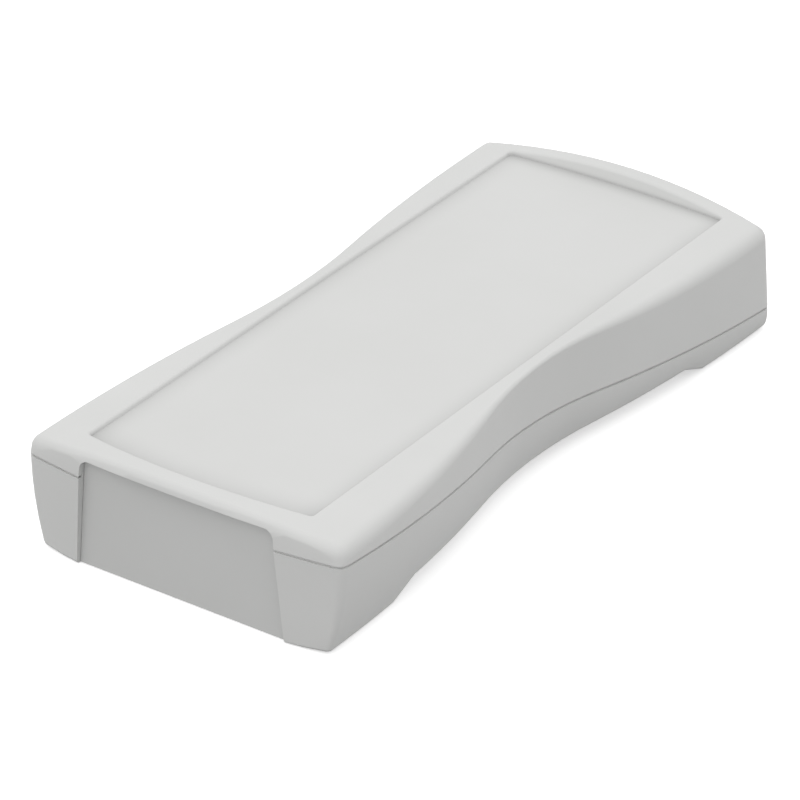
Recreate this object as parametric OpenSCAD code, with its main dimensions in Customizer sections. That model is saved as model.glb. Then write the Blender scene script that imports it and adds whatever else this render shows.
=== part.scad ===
// Handheld enclosure: two moulded shells that part on an inclined line, a waisted grip,
// a sunk field for a keypad foil, a flat end panel and four case screws.
// The origin is under the middle of the case, the panel end is at -Y and the field is on top.

/* [Case] */
// Length over both rounded ends
body_len = 189.2; // [176:0.2:215]
// Height at the crown of the rim
body_h = 31.5; // [30.6:0.2:36]
// Width at the panel end, over the parting line
front_w = 87.2; // [84:0.2:96]
// Width at the narrowest point of the grip
waist_w = 69.4; // [68.6:0.2:76]
// Width at the rear end, over the parting line
rear_w = 84.6; // [82:0.2:96]
// Place of the waist, measured rearwards from the middle
waist_y = 1; // [-8:0.5:8]
// Radius of the waist
waist_r = 120; // [80:5:180]
// Straight stretch between each end and the start of the flare
end_straight = 9; // [8:0.5:14]
// Radius of both ends, seen from above
end_r = 233; // [160:1:320]
// Radius of the four upright corners
corner_r = 2.8; // [2.6:0.1:5]
// Radius of the arch across the top
crown_r = 256; // [200:2:400]
// Edge radius round the top at the two ends
top_edge_end = 3.1; // [1.4:0.1:3.2]
// Edge radius round the top at the waist
top_edge_waist = 0.7; // [0.4:0.1:1.4]

/* [Walls] */
// Wall of both shells
wall = 2.4; // [2.2:0.1:2.8]
// Floor of the lower shell
floor_t = 2.2; // [1.8:0.1:2.8]
// Plate under the sunk field
top_t = 2.2; // [1.8:0.1:2.6]
// Mean lean of the lower shell's sides, in degrees
lower_draft = 8.9; // [6:0.1:11]
// Lean of the lower shell's two ends, in degrees
end_draft = 1.3; // [0.2:0.1:1.5]
// Lean of the upper shell, in degrees
upper_draft = 2.5; // [1:0.1:3]
// Fullness of the lower shell's sides, where 1 is a straight lean
side_curve = 2.1; // [1:0.1:3]
// Rounding of the lower edge
bottom_edge = 0.95; // [0.4:0.05:1.4]

/* [Parting line] */
// Height of the parting line at the panel end
seam_front_z = 23.8; // [20:0.1:23.9]
// Height of the parting line at the rear end
seam_rear_z = 5.9; // [5.4:0.1:9]
// Shadow gap between the shells
seam_gap = 0.5; // [0.3:0.1:0.7]
// Width of the ledge outside the locating rim
rim_ledge = 1.2; // [1:0.1:1.4]
// Height of the locating rim above the parting line
rim_h = 1.2; // [0.8:0.1:1.3]
// Play between the locating rim and its groove
rim_play = 0.1; // [0.08:0.02:0.2]

/* [Sunk field] */
// Length between the middles of its two ends
field_len = 176.4; // [150:0.2:177]
// Width between its straight sides
field_w = 62; // [54:0.5:63]
// Depth below the crown of the rim
field_depth = 2.9; // [2.6:0.1:3.2]
// Place of its middle, measured rearwards from the middle of the case
field_y = -0.5; // [-0.6:0.1:3]
// Radius of its front edge, seen from above
field_front_r = 106; // [90:2:250]
// Radius of its rear edge, seen from above
field_rear_r = 224; // [110:2:300]
// Radius of its two front corners
field_front_corner = 1; // [0.6:0.2:5]
// Radius of its two rear corners
field_rear_corner = 1; // [0.6:0.2:5]
// Lean of its walls, in degrees
field_lean = 20; // [8:1:24]

/* [Feet] */
// Length of the front foot, from the end of the case
front_foot = 29; // [27:0.5:34]
// Length of the rear foot, from the end of the case
rear_foot = 31.5; // [27:0.5:34]
// Length of the ramp behind the front foot
front_ramp = 8.5; // [5:0.5:12]
// Length of the ramp before the rear foot
rear_ramp = 7.5; // [5:0.5:12]
// Rise of the underside between the feet
foot_lift = 3; // [1.2:0.1:3.4]
// Width of the flat sole
sole_w = 57.5; // [50:0.5:59]
// Radius of the sole's upturned sides
sole_r = 98; // [90:2:200]

/* [End panel] */
// Thickness of the panel
panel_t = 1.5; // [1.2:0.1:1.6]
// Distance from the end of the case to the panel's face
panel_set = 3.5; // [3.3:0.05:4]
// Thickness of the panel's upper lip
panel_lip = 0.8; // [0.6:0.1:1]
// Height of the panel's plate, below its lip
panel_top = 27.7; // [26.9:0.1:27.8]
// Clear height under the panel
panel_lift = 0.2; // [0.1:0.1:0.8]
// Step from the panel's face back to its edges
panel_step = 0.4; // [0.3:0.05:0.5]
// Depth of the panel's edges in their grooves
panel_bite = 1.6; // [1.2:0.1:1.7]
// Play between the panel and the shells
panel_play = 0.1; // [0.08:0.01:0.14]
// Width of the front opening at the table
mouth_w = 57.8; // [52:0.2:58.2]
// Lean of the opening's sides, in degrees
mouth_lean = 4.25; // [2:0.25:5]
// Radius of the opening's upper corners
mouth_corner = 2.5; // [1.5:0.1:3.5]
// Thickness of the rim above the middle of the opening
mouth_lip = 2.3; // [2.1:0.05:2.4]
// Radius of the arch over the opening
mouth_arch_r = 400; // [256:4:800]
// Width of the guide blocks that hold the grooves
guide_w = 7; // [6:0.1:7.4]
// Wall behind the grooves
guide_back = 2; // [1.5:0.1:3]

/* [Screws] */
// Distance between the screws across the case
screw_pitch_x = 61; // [56:0.5:61]
// Distance from each screw to the end of the case
screw_end = 21; // [18:0.5:24]
// Height of the faces where the screw towers meet
tower_meet_z = 10; // [9:0.5:11]
// Height of the screw head's seat
screw_seat_z = 6; // [5:0.5:6.5]
// Outer diameter of the lower towers
lower_tower_d = 9.6; // [9.2:0.1:10]
// Outer diameter of the upper towers
upper_tower_d = 7; // [6:0.1:8]
// Diameter of the screw head
head_d = 5.6; // [5:0.1:5.8]
// Height of the screw head
head_h = 2; // [1.6:0.1:2.4]
// Diameter of the screw's core
shank_d = 2.5; // [2.2:0.1:2.8]
// Length of the screw under its head
screw_len = 12; // [9:0.5:13]
// Play round the screw head
head_play = 0.5; // [0.3:0.05:0.5]
// Play round the screw where it passes the lower shell
shank_play = 0.35; // [0.25:0.05:0.5]
// Play round the screw's core in the upper tower
thread_play = 0.05; // [0.03:0.01:0.08]
// Free depth past the screw's tip
tip_room = 1.5; // [1:0.1:2]

/* [Board posts] */
// Distance between the board posts across the case
board_pitch_x = 46; // [36:0.5:48]
// Distance between the board posts along the case
board_pitch_y = 100; // [80:1:104]
// Outer diameter of the board posts
board_post_d = 6; // [5:0.1:7]
// Bore of the board posts
board_bore_d = 2.4; // [2:0.1:3]
// Depth of the bore in the board posts
board_bore_depth = 6; // [4:0.5:7]
// Height of the board's seat
board_seat_z = 12; // [11:0.5:13]

/* [Hidden] */
$fn = 40;
shell_colour = [0.86, 0.87, 0.86];
panel_colour = [0.82, 0.83, 0.82];
screw_colour = [0.62, 0.63, 0.65];
// Overlap of joined solids, and overrun of cuts
sink = 0.6;
cut = 1;
front_y = -body_len / 2;
rear_y = body_len / 2;
seam_slope = (seam_rear_z - seam_front_z) / body_len;
field_z = body_h - field_depth;
ceiling_z = field_z - top_t;
inner_corner_r = corner_r - wall;
foot_corner_r = corner_r / 2;
tight_r = 0.4;
// Steps of the curves
end_steps = 7;
corner_steps = 6;
side_steps = 28;
edge_steps = 5;
foot_steps = 2;
wall_steps = 4;
mouth_steps = 6;

// Outline at the parting line
front_flare = waist_y - front_y - end_straight;
rear_flare = rear_y - waist_y - end_straight;
function arc_drop(r, d) = r - sqrt(r * r - d * d);
function flare_angle(rise, run) = 2 * atan(rise / run);
// Half width of a flare, d from the waist: the waist's arc, then a tangent arc that ends parallel
function flare_x(d, rise, run) =
    let (turn = flare_angle(rise, run), far_r = run / sin(turn) - waist_r)
    d < waist_r * sin(turn) ? waist_w / 2 + arc_drop(waist_r, d)
    : d < run ? waist_w / 2 + rise - arc_drop(far_r, run - d)
    : waist_w / 2 + rise;
function side_x(y) = y < waist_y
    ? flare_x(waist_y - y, (front_w - waist_w) / 2, front_flare)
    : flare_x(y - waist_y, (rear_w - waist_w) / 2, rear_flare);

// Heights that depend on the place along or across the case
function seam_z(y) = (seam_front_z + seam_rear_z) / 2 + seam_slope * y;
function crown_z(x) = body_h - arc_drop(crown_r, x);
function ramp_share(y) = y < 0
    ? (y - front_y - front_foot) / front_ramp
    : (rear_y - rear_foot - y) / rear_ramp;
function underside_z(y) = foot_lift * min(1, max(0, ramp_share(y)));
function sole_rise(x) = pow(max(0, abs(x) - sole_w / 2), 2) / (2 * sole_r);

// Stations along the sides, with one on each end of both ramps
side_start = front_y + end_straight;
side_end = rear_y - end_straight;
side_marks = [
    side_start,
    front_y + front_foot,
    front_y + front_foot + front_ramp,
    rear_y - rear_foot - rear_ramp,
    rear_y - rear_foot,
    side_end
];
function stretch_steps(a, b) = max(1, round(side_steps * (b - a) / (side_end - side_start)));
side_ys = concat(
    [for (k = [0 : len(side_marks) - 2])
        let (a = side_marks[k], b = side_marks[k + 1], n = stretch_steps(a, b))
        for (i = [0 : n - 1]) a + (b - a) * i / n],
    [side_end]
);
last_side = len(side_ys) - 1;

// Right half of an outline from the front middle to the rear middle: end arc, corner, side,
// corner, end arc. Every outline has as many points, so that outlines can be joined in bands.
function end_turn(w, r, c) = asin((w - c) / (r - c));
function end_half(w, r, c) =
    let (turn = end_turn(w, r, c))
    concat(
        [for (k = [0 : end_steps]) let (a = turn * k / end_steps) [r * sin(a), r - r * cos(a)]],
        [for (k = [1 : corner_steps])
            let (a = turn + (90 - turn) * k / corner_steps)
            [w - c + c * sin(a), r - (r - c) * cos(turn) - c * cos(a)]]
    );
function reversed(v) = [for (k = [len(v) - 1 : -1 : 0]) v[k]];
function half_outline(y0, y1, sides, r0, r1, c0, c1) = concat(
    [for (p = end_half(sides[0][0], r0, c0)) [p[0], y0 + p[1]]],
    sides,
    [for (p = reversed(end_half(sides[len(sides) - 1][0], r1, c1))) [p[0], y1 - p[1]]]
);
// Outline of a shell, set in from the parting line's outline by its own amount at each end and side
function shell_outline(front_in, rear_in, side_in, c) = half_outline(
    front_y + front_in,
    rear_y - rear_in,
    [for (k = [0 : last_side]) [side_x(side_ys[k]) - side_in[k], side_ys[k]]],
    end_r, end_r, c, c
);
// Radius of an end arc that is set in further in its middle than at its corners
function flatter_r(r, w, more) =
    let (sag = arc_drop(r, w) - more)
    (w * w + sag * sag) / (2 * sag);
// Outline of the sunk field, set in by its own amount at its ends and sides
function field_outline(end_in, side_in) =
    let (
        y0 = field_y - field_len / 2 + end_in,
        y1 = field_y + field_len / 2 - end_in,
        w = field_w / 2 - side_in,
        front_r = flatter_r(field_front_r, w, end_in - side_in),
        rear_r = flatter_r(field_rear_r, w, end_in - side_in),
        a = y0 + end_half(w, front_r, field_front_corner)[end_steps + corner_steps][1],
        b = y1 - end_half(w, rear_r, field_rear_corner)[end_steps + corner_steps][1],
        s = [for (y = side_ys) (y - side_start + cut) / (side_end - side_start + 2 * cut)]
    )
    half_outline(
        y0, y1,
        [for (t = s) [w, a + (b - a) * t]],
        front_r, rear_r, field_front_corner, field_rear_corner
    );
function constant(v) = [for (y = side_ys) v];

// Solid whose skin is a chain of closed rings. A ring is given by its right half, and the first
// and last rings are closed by strips across the case.
module ring_solid(halves) {
    m = len(halves[0]) - 1;
    n = 2 * m;
    points = [
        for (h = halves)
            for (k = [0 : n - 1])
                k <= m ? h[k] : [-h[n - k][0], h[n - k][1], h[n - k][2]]
    ];
    last = (len(halves) - 1) * n;
    bands = [
        for (j = [0 : len(halves) - 2])
            for (k = [0 : n - 1])
                let (a = j * n + k, b = j * n + (k + 1) % n)
                each [[a, a + n, b + n], [a, b + n, b]]
    ];
    strips = [
        for (k = [0 : m - 1])
            let (r = k, s = k + 1, t = (n - k - 1) % n, u = (n - k) % n)
            each concat(
                k < m - 1 ? [[r, s, t], [last + r, last + t, last + s]] : [],
                k > 0 ? [[r, t, u], [last + r, last + u, last + t]] : []
            )
    ];
    polyhedron(points = points, faces = concat(bands, strips), convexity = 8);
}
function on_seam(half, rise) = [for (p = half) [p[0], p[1], seam_z(p[1]) + rise]];
function level(half, z) = [for (p = half) [p[0], p[1], z]];

// Front opening and end panel
panel_y = front_y + panel_set;
panel_back_y = panel_y + panel_t;
groove_front_y = panel_y + panel_step - panel_play;
groove_back_y = panel_back_y + panel_play;
mouth_tan = tan(mouth_lean);
function mouth_x(z) = mouth_w / 2 - z * mouth_tan;
function mouth_z(x) = body_h - mouth_lip - arc_drop(mouth_arch_r, x);
panel_half_w = mouth_w / 2 + panel_bite;
panel_ear_z = floor_t / 2;
// Front view of the opening: leaning sides, rounded upper corners and a slightly arched top
function mouth_points(play) =
    let (
        c = mouth_corner - play,
        x = mouth_x(mouth_z(0)) - play - c,
        z = mouth_z(x) - play - c
    )
    concat(
        [for (k = [0 : mouth_steps])
            let (a = 90 * k / mouth_steps) [x + c * cos(a), z + c * sin(a)]],
        [for (k = [1 : 2 * mouth_steps - 1])
            let (u = x * (1 - k / mouth_steps)) [u, mouth_z(u) - play]],
        [for (k = [0 : mouth_steps])
            let (a = 90 + 90 * k / mouth_steps) [-x + c * cos(a), z + c * sin(a)]]
    );
module mouth_profile(play, z0) {
    polygon(concat(
        mouth_points(play),
        [[-mouth_x(z0) + play, z0], [mouth_x(z0) - play, z0]]
    ));
}
// A front view stood upright between two places along the case
module upright(y0, y1) {
    translate([0, y1, 0])
        rotate([90, 0, 0])
            linear_extrude(y1 - y0)
                children();
}
module panel_cut() {
    upright(front_y - cut, panel_y + panel_lip + panel_play)
        mouth_profile(0, -cut);
    upright(front_y - cut, groove_back_y)
        polygon([
            [-mouth_x(-cut), -cut],
            [mouth_x(-cut), -cut],
            [mouth_x(panel_ear_z), panel_ear_z],
            [-mouth_x(panel_ear_z), panel_ear_z]
        ]);
    translate([-panel_half_w - panel_play, groove_front_y, panel_ear_z])
        cube([
            2 * (panel_half_w + panel_play),
            groove_back_y - groove_front_y,
            panel_top + panel_play - panel_ear_z
        ]);
}
guide_x = panel_half_w + panel_play + (guide_w - panel_bite) / 2;
guide_front_y = front_y + arc_drop(end_r, guide_x) + seam_front_z * tan(end_draft) + wall / 2;
module guide_blocks(z0, z1) {
    for (side = [-1, 1])
        translate([side * guide_x - (side > 0 ? guide_w : 0), guide_front_y, z0])
            cube([guide_w, groove_back_y + guide_back - guide_front_y, z1 - z0]);
}

// Screw and board positions
screw_ys = [front_y + screw_end, rear_y - screw_end];
module at_screws() {
    for (x = [-screw_pitch_x / 2, screw_pitch_x / 2], y = screw_ys)
        translate([x, y, 0])
            children();
}
module at_board_posts() {
    for (x = [-board_pitch_x / 2, board_pitch_x / 2], y = [-board_pitch_y / 2, board_pitch_y / 2])
        translate([x, y, 0])
            children();
}
pilot_d = shank_d + 2 * thread_play;
tip_z = screw_seat_z + screw_len;

// Upper shell: arched rim round the sunk field, leaning walls down to the parting line and four towers
upper_tan = tan(upper_draft);
function top_edge(y) =
    let (wide = y < waist_y ? front_w : rear_w)
    top_edge_waist
    + (top_edge_end - top_edge_waist) * (2 * side_x(y) - waist_w) / (wide - waist_w);
function upper_in(y) = upper_tan * (crown_z(side_x(y)) - top_edge(y) - seam_z(y));
function end_in(y) = upper_tan * (body_h - top_edge_end - seam_z(y));
field_end_in = tan(field_lean) * field_depth;
field_side_in = tan(field_lean) * (crown_z(field_w / 2) - field_z);
function edge_radius(y) = y < side_start || y > side_end ? top_edge_end : top_edge(y);
function top_ring(a) =
    let (
        s = 1 - cos(a),
        half = shell_outline(
            end_in(front_y) + top_edge_end * s,
            end_in(rear_y) + top_edge_end * s,
            [for (y = side_ys) upper_in(y) + top_edge(y) * s],
            max(tight_r, corner_r - top_edge_end * s)
        )
    )
    [for (p = half) [p[0], p[1], crown_z(p[0]) - edge_radius(p[1]) * (1 - sin(a))]];
upper_rings = concat(
    [
        level(shell_outline(wall, wall + end_in(rear_y),
            [for (y = side_ys) wall + upper_tan * (ceiling_z - seam_z(y))], inner_corner_r), ceiling_z),
        on_seam(shell_outline(wall, wall, constant(wall), inner_corner_r), rim_h + rim_play),
        on_seam(shell_outline(rim_ledge - rim_play, rim_ledge - rim_play,
            constant(rim_ledge - rim_play), corner_r - rim_ledge), rim_h + rim_play),
        on_seam(shell_outline(rim_ledge - rim_play, rim_ledge - rim_play,
            constant(rim_ledge - rim_play), corner_r - rim_ledge), seam_gap / 2),
        on_seam(shell_outline(0, 0, constant(0), corner_r), seam_gap / 2)
    ],
    [for (k = [0 : edge_steps]) top_ring(90 * k / edge_steps)],
    [
        [for (p = field_outline(0, 0)) [p[0], p[1], crown_z(p[0])]],
        level(field_outline(field_end_in, field_side_in), field_z)
    ]
);
module upper_shell() {
    color(shell_colour)
        difference() {
            union() {
                ring_solid(upper_rings);
                at_screws()
                    translate([0, 0, tower_meet_z])
                        cylinder(d = upper_tower_d, h = ceiling_z + sink - tower_meet_z);
                guide_blocks(seam_front_z + rim_h, ceiling_z + sink);
            }
            at_screws()
                translate([0, 0, tower_meet_z - cut])
                    cylinder(d = pilot_d, h = tip_z + tip_room - tower_meet_z + cut);
            panel_cut();
        }
}

// Lower shell: leaning walls up to the parting line, a locating rim, two feet across the case,
// four screw towers and four board posts
lower_tan = tan(lower_draft);
end_tan = tan(end_draft);
function lower_in(y, z) = lower_tan * (seam_z(y) - z);
function lower_end_in(y, z) = end_tan * (seam_z(y) - z);
function foot_x(y) = side_x(y) - lower_in(y, underside_z(y));
function foot_ring(rise, in, share) =
    let (half = shell_outline(
        lower_end_in(front_y, rise) + in,
        lower_end_in(rear_y, rise) + in,
        [for (y = side_ys) lower_in(y, underside_z(y) + share * sole_rise(foot_x(y)) + rise) + in],
        max(tight_r, foot_corner_r - in)
    ))
    [for (p = half) [p[0], p[1], underside_z(p[1]) + share * sole_rise(p[0]) + rise]];
function edge_z(x, y) = underside_z(y) + sole_rise(x) + bottom_edge;
// Ring of the wall, by its share of the way from the rounded lower edge up to the parting line
function wall_ring(share) =
    let (
        left = 1 - share,
        half = shell_outline(
            left * lower_end_in(front_y, bottom_edge),
            left * lower_end_in(rear_y, bottom_edge),
            [for (y = side_ys) pow(left, side_curve) * lower_in(y, edge_z(foot_x(y), y))],
            share * corner_r + left * foot_corner_r
        )
    )
    [for (p = half)
        [p[0], p[1], left * edge_z(p[0], p[1]) + share * (seam_z(p[1]) - seam_gap / 2)]];
sole_end = lower_end_in(front_y, 0) + 2 * bottom_edge;
sole_half = half_outline(
    front_y + sole_end,
    rear_y - sole_end,
    [for (y = side_ys) [sole_w / 2, y]],
    end_r, end_r, corner_r, corner_r
);
lower_rings = [
    [for (p = sole_half) [p[0], p[1], underside_z(p[1])]],
    for (k = [0 : foot_steps])
        let (a = 90 * k / foot_steps)
        foot_ring(bottom_edge * (1 - cos(a)), bottom_edge * (1 - sin(a)), 1),
    for (k = [1 : wall_steps - 1]) wall_ring(k / wall_steps),
    on_seam(shell_outline(0, 0, constant(0), corner_r), -seam_gap / 2),
    on_seam(shell_outline(rim_ledge, rim_ledge, constant(rim_ledge), corner_r - rim_ledge), -seam_gap / 2),
    on_seam(shell_outline(rim_ledge, rim_ledge, constant(rim_ledge), corner_r - rim_ledge), rim_h),
    on_seam(shell_outline(wall, wall, constant(wall), inner_corner_r), rim_h),
    foot_ring(floor_t, wall, 0)
];
module lower_shell() {
    color(shell_colour)
        difference() {
            union() {
                ring_solid(lower_rings);
                at_screws()
                    translate([0, 0, floor_t - sink])
                        cylinder(d = lower_tower_d, h = tower_meet_z - floor_t + sink);
                at_board_posts()
                    translate([0, 0, foot_lift + sink])
                        cylinder(d = board_post_d, h = board_seat_z - foot_lift - sink);
                guide_blocks(floor_t - sink, seam_front_z - rim_h);
            }
            at_screws() {
                translate([0, 0, -cut])
                    cylinder(d = head_d + 2 * head_play, h = screw_seat_z + cut);
                cylinder(d = shank_d + 2 * shank_play, h = tower_meet_z + cut);
            }
            at_board_posts()
                translate([0, 0, board_seat_z - board_bore_depth])
                    cylinder(d = board_bore_d, h = board_bore_depth + cut);
            panel_cut();
        }
}

// End panel: flat plate with its edges in the grooves, a thin lip that fills the top of the opening
// and a lower edge that covers the floor
module end_panel() {
    color(panel_colour)
        union() {
            translate([-panel_half_w, panel_y + panel_step, panel_ear_z])
                cube([2 * panel_half_w, panel_t - panel_step, panel_top - panel_ear_z]);
            upright(panel_y, panel_y + panel_lip)
                mouth_profile(panel_play, panel_lift);
            upright(panel_y, panel_back_y)
                polygon([
                    [-mouth_x(panel_lift) + panel_play, panel_lift],
                    [mouth_x(panel_lift) - panel_play, panel_lift],
                    [mouth_x(panel_ear_z) - panel_play, panel_ear_z],
                    [-mouth_x(panel_ear_z) + panel_play, panel_ear_z]
                ]);
        }
}

// Case screws: pan heads in the lower shell's wells, cores up into the upper towers
module case_screws() {
    color(screw_colour)
        at_screws() {
            translate([0, 0, screw_seat_z - head_h])
                cylinder(d = head_d, h = head_h);
            translate([0, 0, screw_seat_z - head_h / 2])
                cylinder(d = shank_d, h = screw_len + head_h / 2);
        }
}

upper_shell();
lower_shell();
end_panel();
case_screws();
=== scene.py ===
import math

import bpy
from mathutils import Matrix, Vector


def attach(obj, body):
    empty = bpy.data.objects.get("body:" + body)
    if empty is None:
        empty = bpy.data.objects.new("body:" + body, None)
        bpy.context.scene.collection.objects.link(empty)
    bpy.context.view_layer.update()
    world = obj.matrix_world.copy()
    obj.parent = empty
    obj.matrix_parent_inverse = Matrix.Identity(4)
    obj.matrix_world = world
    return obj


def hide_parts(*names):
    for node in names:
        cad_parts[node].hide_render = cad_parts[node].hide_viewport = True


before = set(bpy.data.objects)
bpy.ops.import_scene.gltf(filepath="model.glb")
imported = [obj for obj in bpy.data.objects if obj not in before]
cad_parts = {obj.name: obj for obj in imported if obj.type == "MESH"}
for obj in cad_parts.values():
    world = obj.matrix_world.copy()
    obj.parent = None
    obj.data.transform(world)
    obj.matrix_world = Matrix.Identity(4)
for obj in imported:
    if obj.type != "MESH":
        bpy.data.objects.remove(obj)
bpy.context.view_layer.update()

bpy.ops.object.select_all(action="DESELECT")


# Upper shell: one injection moulding in light grey ABS, an arched rim round a sunk keypad field.
# The mould is spark eroded, so the outside has a fine even grain, and the field is smoother for a foil.
# It follows its solid, with a tighter and flatter front edge, a rolled inner rim and a lip at the seam.
crown_height = 0.0315
crown_radius = 0.256
front_face = -0.0944
front_bow = 0.233
upper_lean = math.tan(math.radians(2.5))
side_edge = 0.0031
front_edge = 0.0018
edge_fullness = 0.45
column_step = 0.0059
column_reach = 6
mouth_top = 0.0292
mouth_arch = 0.4
mouth_reach = 0.0285
same_corner = 0.000002
on_shape = 0.00001
flat_angle = math.radians(0.4)


def pick_corners(piece, wanted):
    """Opens a piece in edit mode with the corners selected that pass the test."""
    bpy.ops.object.select_all(action="DESELECT")
    piece.select_set(True)
    bpy.context.view_layer.objects.active = piece
    bpy.ops.object.mode_set(mode="EDIT")
    bpy.ops.mesh.select_mode(type="VERT")
    bpy.ops.mesh.select_all(action="DESELECT")
    bpy.ops.object.mode_set(mode="OBJECT")
    for corner in piece.data.vertices:
        corner.select = wanted(corner.co)
    bpy.ops.object.mode_set(mode="EDIT")


def arc_drop(radius, x):
    """How far an arc has fallen away at a distance from its middle."""
    return radius - math.sqrt(radius ** 2 - x ** 2)


def on_front_round(place):
    """Whether a point lies on the rounding between the front face and the crown, off the mouth's edge."""
    back = place.y - front_face - arc_drop(front_bow, place.x)
    down = crown_height - arc_drop(crown_radius, place.x) - place.z
    mouth_edge = mouth_top - arc_drop(mouth_arch, place.x)
    if abs(place.x) < mouth_reach and place.z < mouth_edge + 2 * on_shape:
        return False
    if max(back, down) > side_edge + on_shape:
        return False
    return abs(math.hypot(side_edge - back, side_edge - down) - side_edge) < on_shape


bpy.ops.object.select_all(action="DESELECT")
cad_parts["upper_shell"].select_set(True)
bpy.context.view_layer.objects.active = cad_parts["upper_shell"]
bpy.ops.object.duplicate(linked=False)
upper_shell = bpy.context.object
upper_shell.name = "upper_moulding"
pick_corners(upper_shell, lambda place: True)
bpy.ops.mesh.remove_doubles(threshold=same_corner)
bpy.ops.object.mode_set(mode="OBJECT")

# The front edge, column by column: drawn in to its own radius, then pressed flatter across its slope.
tighter = front_edge / side_edge
slant = math.sqrt(0.5)
slope_axes = ((1, 0, 0), (0, slant, slant), (0, -slant, slant))
for column in range(-column_reach, column_reach + 1):
    x = column * column_step
    edge_y = front_face + arc_drop(front_bow, x) + upper_lean * side_edge
    edge_z = crown_height - arc_drop(crown_radius, x)
    pick_corners(
        upper_shell,
        lambda place: abs(place.x - x) < column_step / 2 and on_front_round(place),
    )
    bpy.ops.transform.resize(value=(1, tighter, tighter), center_override=(x, edge_y, edge_z))
    slope_y = edge_y + front_edge * (0.5 - upper_lean)
    slope_z = edge_z - front_edge * 0.5
    bpy.ops.transform.resize(
        value=(1, 1, edge_fullness),
        orient_type="GLOBAL",
        orient_matrix=slope_axes,
        orient_matrix_type="GLOBAL",
        center_override=(x, slope_y, slope_z),
    )
    bpy.ops.object.mode_set(mode="OBJECT")

# The lip at the seam: raised, flat at its outer edge, and sloped down to the ledge of the lower shell.
body_length = 0.1892
seam_front = 0.0238
seam_rear = 0.0059
seam_gap = 0.0005
lip_rise = 0.0002
lip_land = 0.00012
lip_slope = 0.0004
lip_play = 0.00003


def on_lip(place):
    """Whether a point lies on the lip's underside, half a gap above the middle of the seam."""
    seam_height = (seam_front + seam_rear) / 2 + (seam_rear - seam_front) * place.y / body_length
    return abs(place.z - seam_height - seam_gap / 2) < on_shape


pick_corners(upper_shell, on_lip)
bpy.ops.mesh.select_mode(type="FACE")
bpy.ops.mesh.dissolve_limited(angle_limit=flat_angle)
bpy.ops.transform.translate(value=(0, 0, lip_rise))
bpy.ops.mesh.inset(thickness=lip_land, depth=0)
bpy.ops.mesh.inset(thickness=lip_slope, depth=seam_gap + lip_rise - lip_play)
bpy.ops.object.mode_set(mode="OBJECT")


def soften_moulding(moulding, rounded, edge):
    """Joins a moulding's triangles, rounds the edges that pass the test and shades curves smooth."""
    moulding.data.polygons.foreach_set("use_smooth", [True] * len(moulding.data.polygons))
    corners = moulding.vertex_groups.new(name="rounded_edge")
    corners.add([corner.index for corner in moulding.data.vertices if rounded(corner.co)], 1, "REPLACE")
    weld = moulding.modifiers.new("join_triangles", "WELD")
    weld.merge_threshold = same_corner
    faces = moulding.modifiers.new("join_flat_faces", "DECIMATE")
    faces.decimate_type = "DISSOLVE"
    faces.angle_limit = flat_angle
    faces.delimit = {"MATERIAL"}
    rounding = moulding.modifiers.new("mould_rounding", "BEVEL")
    rounding.width = edge
    rounding.segments = 4
    rounding.limit_method = "VGROUP"
    rounding.vertex_group = "rounded_edge"
    split = moulding.modifiers.new("part_sharp_edges", "EDGE_SPLIT")
    split.split_angle = math.radians(50)
    normals = moulding.modifiers.new("flat_faces_stay_flat", "WEIGHTED_NORMAL")
    normals.keep_sharp = True


def moulded_plastic(name, colour, colour_light, roughness, grain_size, grain_depth):
    """Moulded plastic: eroded grain, slow shade changes from the flow of the melt, uneven gloss."""
    plastic = bpy.data.materials.new(name)
    plastic.use_nodes = True
    nodes = plastic.node_tree.nodes
    links = plastic.node_tree.links
    shader = nodes["Principled BSDF"]
    shader.inputs["IOR"].default_value = 1.53
    shader.inputs["Specular IOR Level"].default_value = 0.42
    place = nodes.new("ShaderNodeTexCoord")

    flow = nodes.new("ShaderNodeTexNoise")
    flow.inputs["Scale"].default_value = 26
    flow.inputs["Detail"].default_value = 3
    links.new(place.outputs["Object"], flow.inputs["Vector"])
    shade = nodes.new("ShaderNodeValToRGB")
    shade.color_ramp.elements[0].position = 0.3
    shade.color_ramp.elements[0].color = colour
    shade.color_ramp.elements[1].position = 0.7
    shade.color_ramp.elements[1].color = colour_light
    links.new(flow.outputs["Fac"], shade.inputs["Fac"])
    links.new(shade.outputs["Color"], shader.inputs["Base Color"])

    grain = nodes.new("ShaderNodeTexNoise")
    grain.inputs["Scale"].default_value = 1 / grain_size
    grain.inputs["Detail"].default_value = 4
    grain.inputs["Roughness"].default_value = 0.6
    links.new(place.outputs["Object"], grain.inputs["Vector"])
    gloss = nodes.new("ShaderNodeMapRange")
    gloss.inputs["From Min"].default_value = 0.3
    gloss.inputs["From Max"].default_value = 0.7
    gloss.inputs["To Min"].default_value = roughness - 0.06
    gloss.inputs["To Max"].default_value = roughness + 0.06
    links.new(grain.outputs["Fac"], gloss.inputs["Value"])
    links.new(gloss.outputs["Result"], shader.inputs["Roughness"])
    relief = nodes.new("ShaderNodeBump")
    relief.inputs["Strength"].default_value = 0.5
    relief.inputs["Distance"].default_value = grain_depth
    links.new(grain.outputs["Fac"], relief.inputs["Height"])
    links.new(relief.outputs["Normal"], shader.inputs["Normal"])
    return plastic


field_height = 0.0286
field_roll = 0.0006
recess_half = 0.0311
recess_front = -0.0888
recess_rear = 0.0878
side_foot = 0.03063
front_foot = -0.08764
front_foot_bow = 0.12418
rear_foot = 0.08664
rear_foot_bow = 0.33130
# The height over which the painted shade at the foot of the recess walls fades up the walls.
painted_shade_wall_fade = 0.0012


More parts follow.
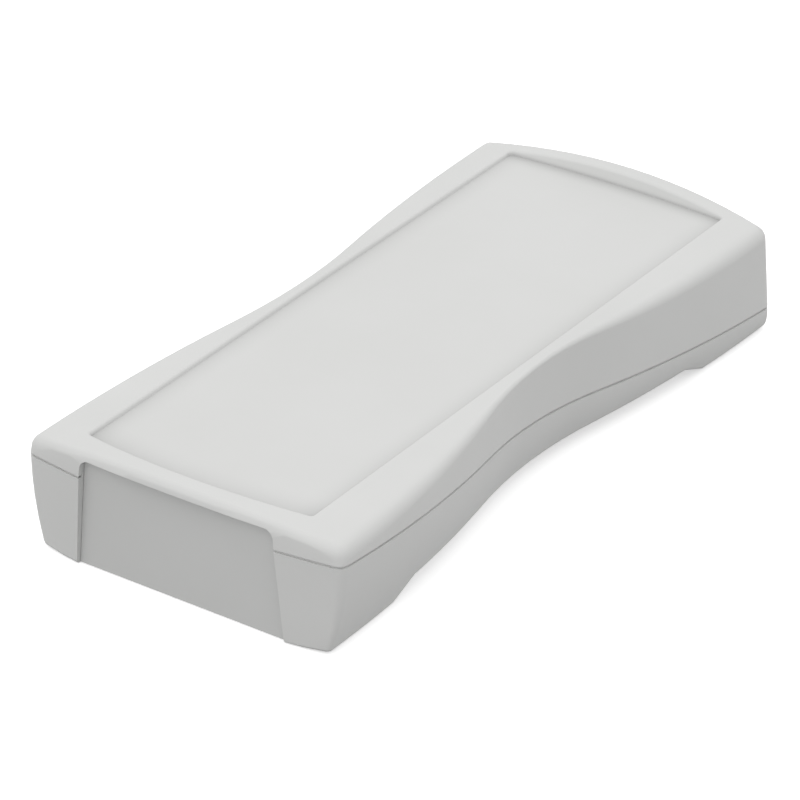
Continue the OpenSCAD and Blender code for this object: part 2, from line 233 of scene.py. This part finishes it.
def rise_between(plastic, value, low, high):
    """A level that rises from nought to one while a value goes from low to high."""
    ramp = plastic.node_tree.nodes.new("ShaderNodeMapRange")
    ramp.inputs["From Min"].default_value = low
    ramp.inputs["From Max"].default_value = high
    plastic.node_tree.links.new(value, ramp.inputs["Value"])
    return ramp.outputs["Result"]


def reckon(plastic, operation, first, second, third=0.0):
    """The result of one reckoning, whose second value is another result or a plain number."""
    step = plastic.node_tree.nodes.new("ShaderNodeMath")
    step.operation = operation
    step.use_clamp = operation == "SUBTRACT"
    plastic.node_tree.links.new(first, step.inputs[0])
    if isinstance(second, float):
        step.inputs[1].default_value = second
    else:
        plastic.node_tree.links.new(second, step.inputs[1])
    step.inputs[2].default_value = third
    return step.outputs[0]


def reach_from(plastic, centre_y):
    """How far a point is from the centre of a bowed wall's foot."""
    place = plastic.node_tree.nodes["Texture Coordinate"].outputs["Object"]
    reach = plastic.node_tree.nodes.new("ShaderNodeVectorMath")
    reach.operation = "DISTANCE"
    reach.inputs[1].default_value = (0, centre_y, field_height)
    plastic.node_tree.links.new(place, reach.inputs[0])
    return reach.outputs["Value"]


def shade_at_foot(plastic, distance, foot, width, dark, up_the_wall):
    """A painted shade factor of one that falls over a width towards a wall's foot, and comes back up the
    wall.
    """
    near = rise_between(plastic, distance, foot - width, foot)
    near = reckon(plastic, "SUBTRACT", near, up_the_wall)
    near = reckon(plastic, "MULTIPLY", near, near)
    return reckon(plastic, "MULTIPLY_ADD", near, -dark, 1.0)


def paint_shade_at_wall_foot(plastic):
    """Paints shade into the recess's colour, darker towards the foot of its four walls, where shade
    falls.
    """
    nodes = plastic.node_tree.nodes
    links = plastic.node_tree.links
    axes = nodes.new("ShaderNodeSeparateXYZ")
    links.new(nodes["Texture Coordinate"].outputs["Object"], axes.inputs["Vector"])
    up_the_wall = rise_between(plastic, axes.outputs["Z"], field_height, field_height + painted_shade_wall_fade)
    sideways = reckon(plastic, "ABSOLUTE", axes.outputs["X"], 0.0)
    from_front = reach_from(plastic, front_foot + front_foot_bow)
    from_rear = reach_from(plastic, rear_foot - rear_foot_bow)
    at_sides = shade_at_foot(plastic, sideways, side_foot, 0.0065, 0.11, up_the_wall)
    at_front = shade_at_foot(plastic, from_front, front_foot_bow, 0.0100, 0.17, up_the_wall)
    at_rear = shade_at_foot(plastic, from_rear, rear_foot_bow, 0.0052, 0.25, up_the_wall)
    shade = reckon(plastic, "MULTIPLY", reckon(plastic, "MULTIPLY", at_sides, at_front), at_rear)
    colour = nodes["Principled BSDF"].inputs["Base Color"]
    # The base colour is scaled by the painted shade.
    painted_shade_colour = nodes.new("ShaderNodeVectorMath")
    painted_shade_colour.operation = "SCALE"
    links.new(colour.links[0].from_socket, painted_shade_colour.inputs["Vector"])
    links.new(shade, painted_shade_colour.inputs["Scale"])
    links.new(painted_shade_colour.outputs["Vector"], colour)


def in_recess(place, above_field):
    """Whether a point lies within the recess, more than a given height above its field."""
    within = abs(place.x) < recess_half and recess_front < place.y < recess_rear
    return within and place.z > field_height + above_field


shell_grey = (0.600, 0.603, 0.594, 1)
shell_grey_light = (0.624, 0.626, 0.618, 1)
field_grey = (0.592, 0.594, 0.584, 1)
field_grey_light = (0.610, 0.612, 0.604, 1)
grained_abs = moulded_plastic("grained_abs", shell_grey, shell_grey_light, 0.56, 0.00045, 0.00003)
wall_abs_painted_shade = moulded_plastic("wall_abs_painted_shade", shell_grey, shell_grey_light, 0.56, 0.00045, 0.00003)
field_abs_painted_shade = moulded_plastic("field_abs_painted_shade", field_grey, field_grey_light, 0.46, 0.00030, 0.00001)
# The wall and field materials get painted shade towards the foot of the recess walls.
paint_shade_at_wall_foot(wall_abs_painted_shade)
paint_shade_at_wall_foot(field_abs_painted_shade)
upper_shell.data.materials.clear()
for plastic in (grained_abs, wall_abs_painted_shade, field_abs_painted_shade):
    upper_shell.data.materials.append(plastic)
for face in upper_shell.data.polygons:
    face.material_index = 0
    if face.normal.z > 0.99 and abs(face.center.z - field_height) < 5 * on_shape:
        face.material_index = 2
    elif face.normal.z < 0.7 and in_recess(face.center, 5 * on_shape):
        face.material_index = 1
soften_moulding(upper_shell, lambda place: in_recess(place, 0.0005), field_roll)
for step in list(upper_shell.modifiers):
    bpy.ops.object.modifier_apply(modifier=step.name)
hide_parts("upper_shell")
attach(upper_shell, "root")


# Lower shell: the deeper moulding of the same grey ABS, with two feet across its underside.
# It meets the upper shell along an inclined groove, and carries the locating rim, the panel grooves,
# the screw towers and the board posts. The edges of its two front posts are rounded.
lower_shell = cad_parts["lower_shell"]
post_edge = 0.0005
post_back = -0.0913
mouth_half = 0.0289
mouth_lean = math.tan(math.radians(4.25))


def on_post_edge(place):
    """Whether a point lies on the leaning edge between a front post and the mouth."""
    off_edge = abs(place.x) + place.z * mouth_lean - mouth_half
    return place.y < post_back and abs(off_edge) < 3 * on_shape


lower_shell.data.materials.clear()
lower_shell.data.materials.append(grained_abs)
soften_moulding(lower_shell, on_post_edge, post_edge)


# End panel: a flat plate of the same plastic, moulded apart so that it can be drilled for connectors.
# It slides into grooves of both shells, and its visible face stands a little proud of its flange.
end_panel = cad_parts["end_panel"]
# Its grey is darker than the shells' grey: painted shade for the mouth it sits back in under the lip.
panel_painted_shade_grey = (0.550, 0.553, 0.545, 1)
panel_painted_shade_grey_light = (0.570, 0.573, 0.566, 1)
panel_face = -0.09109
panel_edge = 0.00015
panel_abs_painted_shade = moulded_plastic("panel_abs_painted_shade", panel_painted_shade_grey, panel_painted_shade_grey_light, 0.50, 0.00036, 0.00002)
end_panel.data.materials.clear()
end_panel.data.materials.append(panel_abs_painted_shade)
soften_moulding(end_panel, lambda place: place.y < panel_face, panel_edge)


# Case screws: four zinc plated pan head screws with a cross recess and a thread that cuts in plastic.
# They go in from below, sit in the wells of the lower shell and hold in the towers of the upper one.
screw_x = 0.0305
screw_y = 0.0736
first_turn = 20
next_turn = 47
seat_height = 0.006
tip_height = 0.018
head_radius = 0.0028
head_height = 0.002
head_face = seat_height - head_height
head_round = 0.0012
slot_length = 0.0030
slot_width = 0.0007
slot_depth = 0.0012
slot_taper = (0.45, 0.7, 1)
slot_step = 0.00001
core_radius = 0.00125
tip_round = 0.0005
crest_radius = 0.0015
tooth_radius = 0.0003
thread_pitch = 0.00125
thread_start = 0.0012
thread_steps = 28


def pick_edges(piece, wanted):
    """Opens a piece in edit mode with the edges selected whose two ends both pass the test."""
    pick_corners(piece, lambda place: False)
    bpy.ops.object.mode_set(mode="OBJECT")
    corners = piece.data.vertices
    for edge in piece.data.edges:
        edge.select = all(wanted(corners[i].co) for i in edge.vertices)
    bpy.ops.object.mode_set(mode="EDIT")
    bpy.ops.mesh.select_mode(type="EDGE")


# The head, with its lower edge rounded.
bpy.ops.object.select_all(action="DESELECT")
bpy.ops.mesh.primitive_cylinder_add(
    vertices=48, radius=head_radius, depth=head_height, location=(0, 0, seat_height - head_height / 2)
)
screw = bpy.context.object
screw.name = "case_screw_1"
bpy.ops.object.transform_apply(location=True, rotation=True, scale=True)
pick_edges(screw, lambda place: place.z < head_face + on_shape)
bpy.ops.mesh.bevel(offset=head_round, segments=6, profile=0.5, affect="EDGES")
bpy.ops.object.mode_set(mode="OBJECT")

# The cross recess, cut arm by arm. The second arm goes a hair deeper, so that the cut stays clean.
bpy.ops.object.select_all(action="DESELECT")
bpy.ops.mesh.primitive_cube_add(size=1, location=(0, 0, head_face))
driver_slot = bpy.context.object
driver_slot.dimensions = (slot_length, slot_width, 2 * slot_depth)
bpy.ops.object.transform_apply(location=True, rotation=True, scale=True)
pick_corners(driver_slot, lambda place: place.z > head_face)
bpy.ops.transform.resize(value=slot_taper, center_override=(0, 0, head_face))
bpy.ops.object.mode_set(mode="OBJECT")
for arm in range(2):
    pick_corners(driver_slot, lambda place: True)
    bpy.ops.transform.rotate(value=math.radians(90 * arm), orient_axis="Z", center_override=(0, 0, 0))
    bpy.ops.transform.translate(value=(0, 0, slot_step * arm))
    bpy.ops.object.mode_set(mode="OBJECT")
    recess = screw.modifiers.new("cross_recess", "BOOLEAN")
    recess.operation = "DIFFERENCE"
    recess.solver = "EXACT"
    recess.object = driver_slot
    bpy.context.view_layer.objects.active = screw
    bpy.ops.object.modifier_apply(modifier="cross_recess")
bpy.data.objects.remove(driver_slot)

# The core, with a rounded tip.
bpy.ops.object.select_all(action="DESELECT")
bpy.ops.mesh.primitive_cylinder_add(
    vertices=32,
    radius=core_radius,
    depth=tip_height - seat_height,
    location=(0, 0, (tip_height + seat_height) / 2),
)
core = bpy.context.object
bpy.ops.object.transform_apply(location=True, rotation=True, scale=True)
pick_edges(core, lambda place: place.z > tip_height - on_shape)
bpy.ops.mesh.bevel(offset=tip_round, segments=2, affect="EDGES")
bpy.ops.object.mode_set(mode="OBJECT")

# The thread: a three-sided tooth stood upright, moved out to the crest, wound up the core and capped.
bpy.ops.object.select_all(action="DESELECT")
bpy.ops.mesh.primitive_circle_add(
    vertices=3, radius=tooth_radius, fill_type="NOTHING", location=(0, 0, 0)
)
thread = bpy.context.object
bpy.ops.object.transform_apply(location=True, rotation=True, scale=True)
pick_corners(thread, lambda place: True)
bpy.ops.transform.rotate(value=math.radians(90), orient_axis="Z", center_override=(0, 0, 0))
bpy.ops.transform.rotate(value=math.radians(90), orient_axis="X", center_override=(0, 0, 0))
bpy.ops.object.mode_set(mode="OBJECT")
crest = max(corner.co.x for corner in thread.data.vertices)
pick_corners(thread, lambda place: True)
bpy.ops.transform.translate(value=(crest_radius - crest, 0, seat_height + thread_start))
bpy.ops.object.mode_set(mode="OBJECT")
wind = thread.modifiers.new("wind", "SCREW")
wind.axis = "Z"
wind.angle = math.radians(360)
wind.screw_offset = thread_pitch
wind.iterations = int((tip_height - seat_height - 2 * thread_start) / thread_pitch)
wind.steps = thread_steps
wind.render_steps = thread_steps
wind.use_normal_calculate = True
bpy.ops.object.modifier_apply(modifier="wind")
bpy.ops.object.mode_set(mode="EDIT")
bpy.ops.mesh.select_mode(type="EDGE")
bpy.ops.mesh.select_all(action="DESELECT")
bpy.ops.mesh.select_non_manifold()
bpy.ops.mesh.edge_face_add()
bpy.ops.mesh.select_all(action="SELECT")
bpy.ops.mesh.normals_make_consistent(inside=False)
bpy.ops.object.mode_set(mode="OBJECT")

bpy.ops.object.select_all(action="DESELECT")
for piece in (thread, core, screw):
    piece.select_set(True)
bpy.context.view_layer.objects.active = screw
bpy.ops.object.join()
bpy.ops.object.shade_smooth_by_angle(angle=math.radians(32))

# Bright zinc: a fine bloom of the plating changes its shade, its gloss and its relief.
zinc = bpy.data.materials.new("zinc_plate")
zinc.use_nodes = True
zinc_nodes = zinc.node_tree.nodes
zinc_links = zinc.node_tree.links
zinc_shader = zinc_nodes["Principled BSDF"]
zinc_shader.inputs["Metallic"].default_value = 1
zinc_place = zinc_nodes.new("ShaderNodeTexCoord")
zinc_bloom = zinc_nodes.new("ShaderNodeTexNoise")
zinc_bloom.inputs["Scale"].default_value = 900
zinc_bloom.inputs["Detail"].default_value = 5
zinc_links.new(zinc_place.outputs["Object"], zinc_bloom.inputs["Vector"])
zinc_shade = zinc_nodes.new("ShaderNodeValToRGB")
zinc_shade.color_ramp.elements[0].position = 0.3
zinc_shade.color_ramp.elements[0].color = (0.50, 0.52, 0.55, 1)
zinc_shade.color_ramp.elements[1].position = 0.7
zinc_shade.color_ramp.elements[1].color = (0.68, 0.69, 0.70, 1)
zinc_links.new(zinc_bloom.outputs["Fac"], zinc_shade.inputs["Fac"])
zinc_links.new(zinc_shade.outputs["Color"], zinc_shader.inputs["Base Color"])
zinc_gloss = zinc_nodes.new("ShaderNodeMapRange")
zinc_gloss.inputs["To Min"].default_value = 0.22
zinc_gloss.inputs["To Max"].default_value = 0.42
zinc_links.new(zinc_bloom.outputs["Fac"], zinc_gloss.inputs["Value"])
zinc_links.new(zinc_gloss.outputs["Result"], zinc_shader.inputs["Roughness"])
zinc_relief = zinc_nodes.new("ShaderNodeBump")
zinc_relief.inputs["Strength"].default_value = 0.3
zinc_relief.inputs["Distance"].default_value = 0.00001
zinc_links.new(zinc_bloom.outputs["Fac"], zinc_relief.inputs["Height"])
zinc_links.new(zinc_relief.outputs["Normal"], zinc_shader.inputs["Normal"])
screw.data.materials.clear()
screw.data.materials.append(zinc)

# Three copies, and each screw turned and moved to its well.
screw_places = [(-screw_x, -screw_y), (screw_x, -screw_y), (-screw_x, screw_y), (screw_x, screw_y)]
screws = [screw]
for number in range(2, len(screw_places) + 1):
    bpy.ops.object.select_all(action="DESELECT")
    screw.select_set(True)
    bpy.context.view_layer.objects.active = screw
    bpy.ops.object.duplicate(linked=False)
    bpy.context.object.name = f"case_screw_{number}"
    screws.append(bpy.context.object)
for turn, (piece, (x, y)) in enumerate(zip(screws, screw_places)):
    bpy.ops.object.select_all(action="DESELECT")
    piece.select_set(True)
    bpy.context.view_layer.objects.active = piece
    piece.rotation_euler.z = math.radians(first_turn + next_turn * turn)
    piece.location = (x, y, 0)
    bpy.ops.object.transform_apply(location=True, rotation=True, scale=True)
    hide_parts("case_screws")
    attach(piece, "root")


# Studio: the case stands on a white light table, whose glow keeps the ground white right up to it.
# A pale tent lights it evenly from above and more weakly from below, and one soft box in front of the
# panel end adds a little shape.
table_size = 8
table_glow = 0.4
box_size = 1.5
box_power = 4
box_place = Vector((0.1, -1.4, 1.4))
light_below = 0.28
light_above = 1.08
horizon_blend = 0.2
white = (1, 1, 1, 1)

bpy.ops.object.select_all(action="DESELECT")
bpy.ops.mesh.primitive_plane_add(size=table_size, location=(0, 0, 0))
table = bpy.context.object
table.name = "light_table"
bpy.ops.object.mode_set(mode="EDIT")
bpy.ops.mesh.subdivide(number_cuts=3)
bpy.ops.object.mode_set(mode="OBJECT")
opal = bpy.data.materials.new("opal_acrylic")
opal.use_nodes = True
opal_shader = opal.node_tree.nodes["Principled BSDF"]
opal_shader.inputs["Base Color"].default_value = (0.9, 0.9, 0.9, 1)
opal_shader.inputs["Roughness"].default_value = 0.9
opal_shader.inputs["Specular IOR Level"].default_value = 0.1
opal_shader.inputs["Emission Color"].default_value = white
opal_shader.inputs["Emission Strength"].default_value = table_glow
table.data.materials.append(opal)
table.visible_diffuse = False

soft_box = bpy.data.objects.new("soft_box", bpy.data.lights.new("soft_box", "AREA"))
soft_box.data.shape = "RECTANGLE"
soft_box.data.size = box_size
soft_box.data.size_y = box_size
soft_box.data.energy = box_power
soft_box.location = box_place
soft_box.rotation_mode = "QUATERNION"
soft_box.rotation_quaternion = (-box_place).to_track_quat("-Z", "Y")
bpy.context.scene.collection.objects.link(soft_box)

tent = bpy.data.worlds.new("light_tent")
tent.use_nodes = True
tent_nodes = tent.node_tree.nodes
tent_links = tent.node_tree.links
tent_place = tent_nodes.new("ShaderNodeTexCoord")
tent_axes = tent_nodes.new("ShaderNodeSeparateXYZ")
tent_light = tent_nodes.new("ShaderNodeMapRange")
tent_light.interpolation_type = "SMOOTHSTEP"
tent_light.inputs["From Min"].default_value = -horizon_blend
tent_light.inputs["From Max"].default_value = horizon_blend
tent_light.inputs["To Min"].default_value = light_below
tent_light.inputs["To Max"].default_value = light_above
tent_links.new(tent_place.outputs["Generated"], tent_axes.inputs["Vector"])
tent_links.new(tent_axes.outputs["Z"], tent_light.inputs["Value"])
tent_links.new(tent_light.outputs["Result"], tent_nodes["Background"].inputs["Strength"])
tent_nodes["Background"].inputs["Color"].default_value = white
bpy.context.scene.world = tent
bpy.context.scene.view_settings.view_transform = "Standard"


# Camera: a long lens some way off, so that the case is drawn with almost no perspective.
# It looks down on the panel end from the right, and the case fills the frame from corner to corner.
view_turn = math.radians(35)
view_height = math.radians(30)
view_aim = Vector((-0.00507, 0.00068, 0.00668))
view_distance = 1.16184
sensor_width = 36
lens_length = 221.76
view_back = Vector((
    math.sin(view_turn) * math.cos(view_height),
    -math.cos(view_turn) * math.cos(view_height),
    math.sin(view_height),
))
camera = bpy.data.objects.new("photo_camera", bpy.data.cameras.new("photo_camera"))
camera.data.sensor_width = sensor_width
camera.data.lens = lens_length
camera.location = view_aim + view_back * view_distance
camera.rotation_mode = "QUATERNION"
camera.rotation_quaternion = (-view_back).to_track_quat("-Z", "Y")
bpy.context.scene.collection.objects.link(camera)
bpy.context.scene.camera = camera
